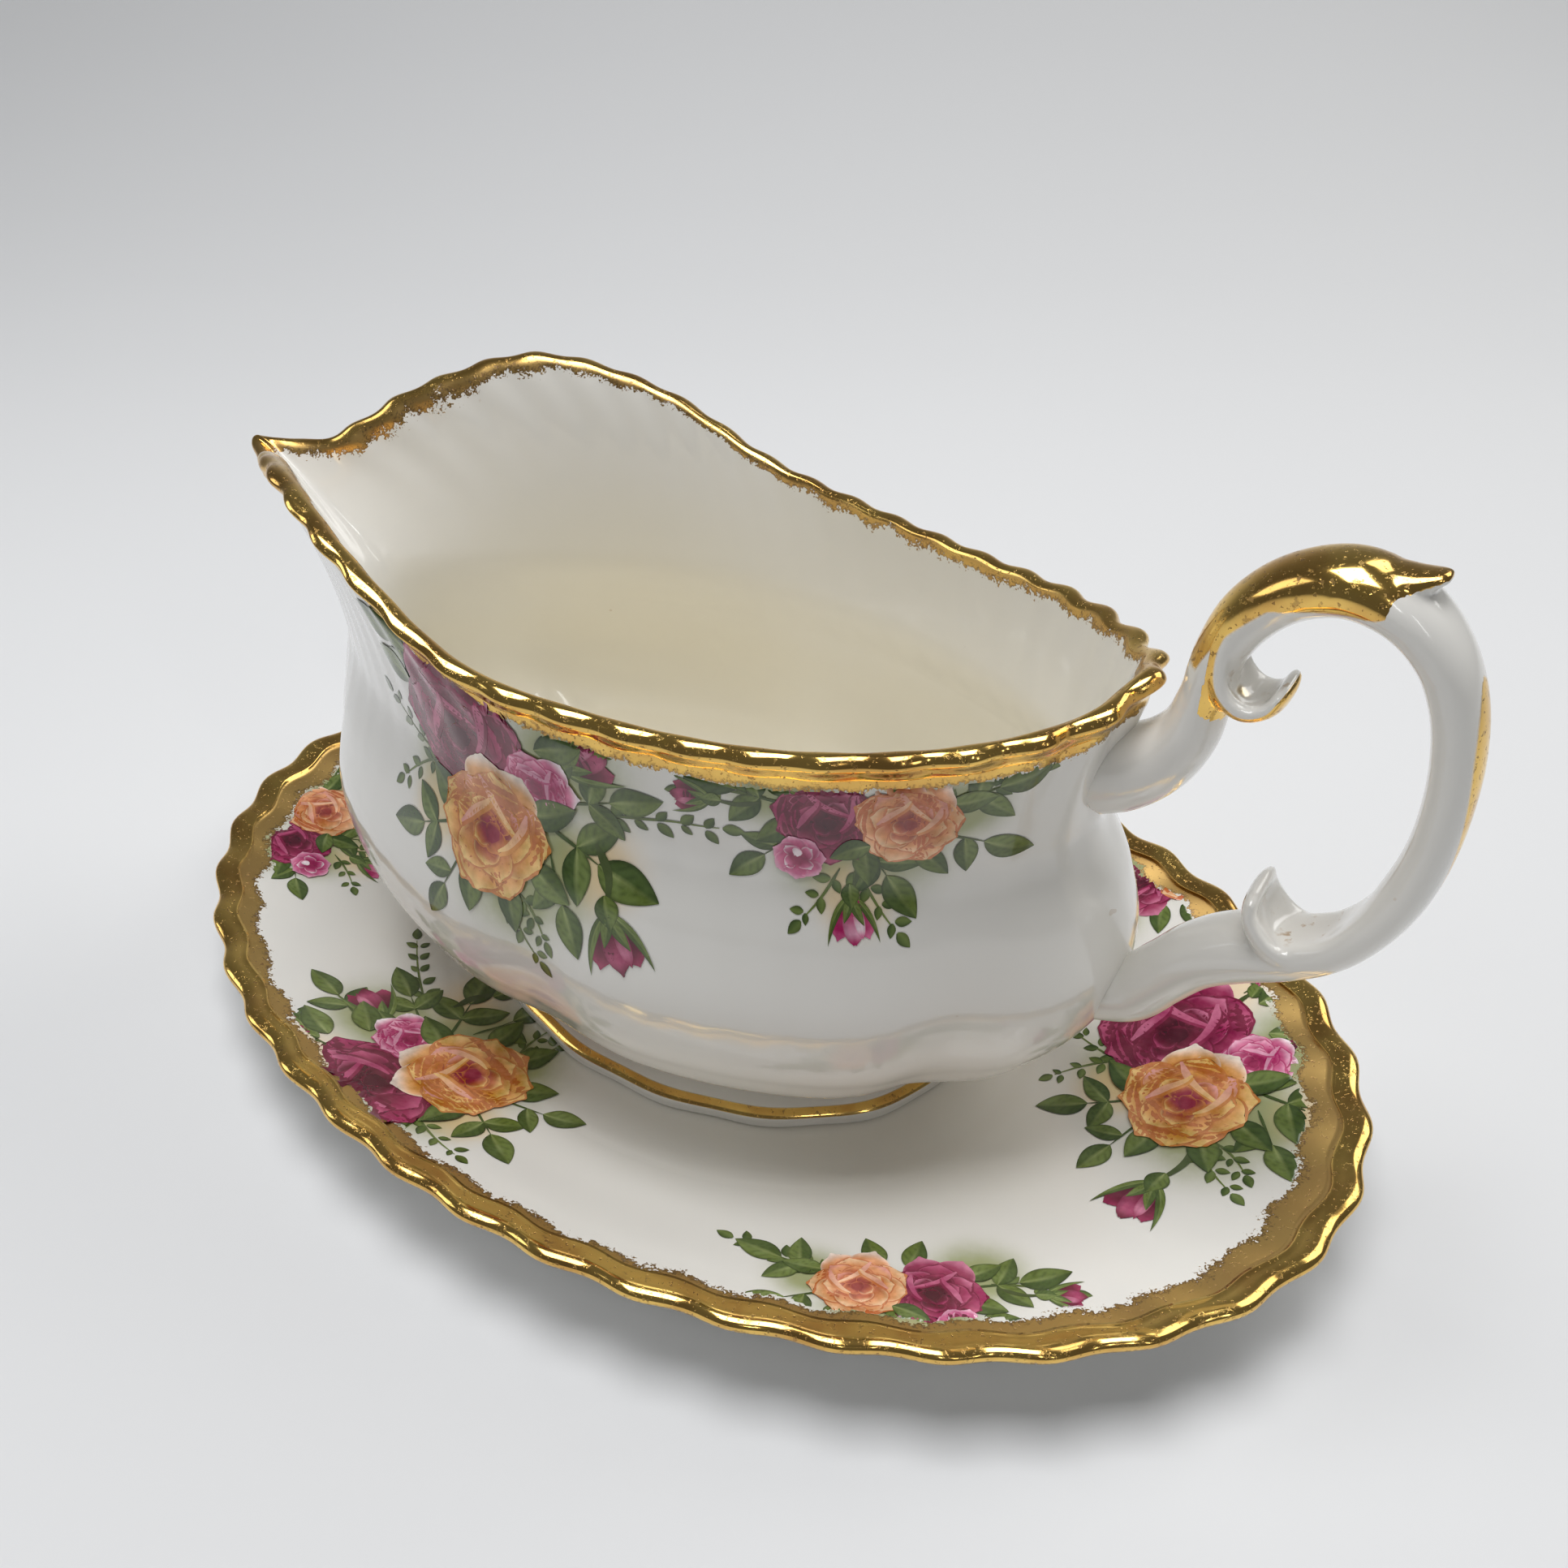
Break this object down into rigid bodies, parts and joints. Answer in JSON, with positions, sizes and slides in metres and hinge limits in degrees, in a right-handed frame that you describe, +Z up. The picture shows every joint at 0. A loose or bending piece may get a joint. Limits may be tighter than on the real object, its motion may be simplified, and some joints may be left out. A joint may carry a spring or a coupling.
{
  "type": "gravy boat",
  "caption": "Footed china gravy boat with a pouring lip and scroll handle, standing loose in the well of its oval scalloped stand.",
  "frame": {"origin": "on the table, under the middle of the oval stand", "axes": "+X towards the handle, -X towards the spout, +Z up"},
  "size_m": [0.222, 0.149, 0.1175],
  "materials": {
    "bone_china": "clear glossy glaze over warm white china",
    "gilding": "bright fired gold, brushed on the rims and handle",
    "flower_print": "fired flower sprays in rose, yellow and green, slightly glossy"
  },
  "bodies": {
    "stand": {"stand": "bone_china"},
    "boat": {"boat_bowl": "bone_china", "boat_foot": "bone_china", "boat_handle": "bone_china"}
  },
  "joints": [
    {"name": "boat_lift", "type": "slide", "parent": "stand", "child": "boat", "axis": [0, 0, 1], "range_m": [0, 0.12]}
  ]
}
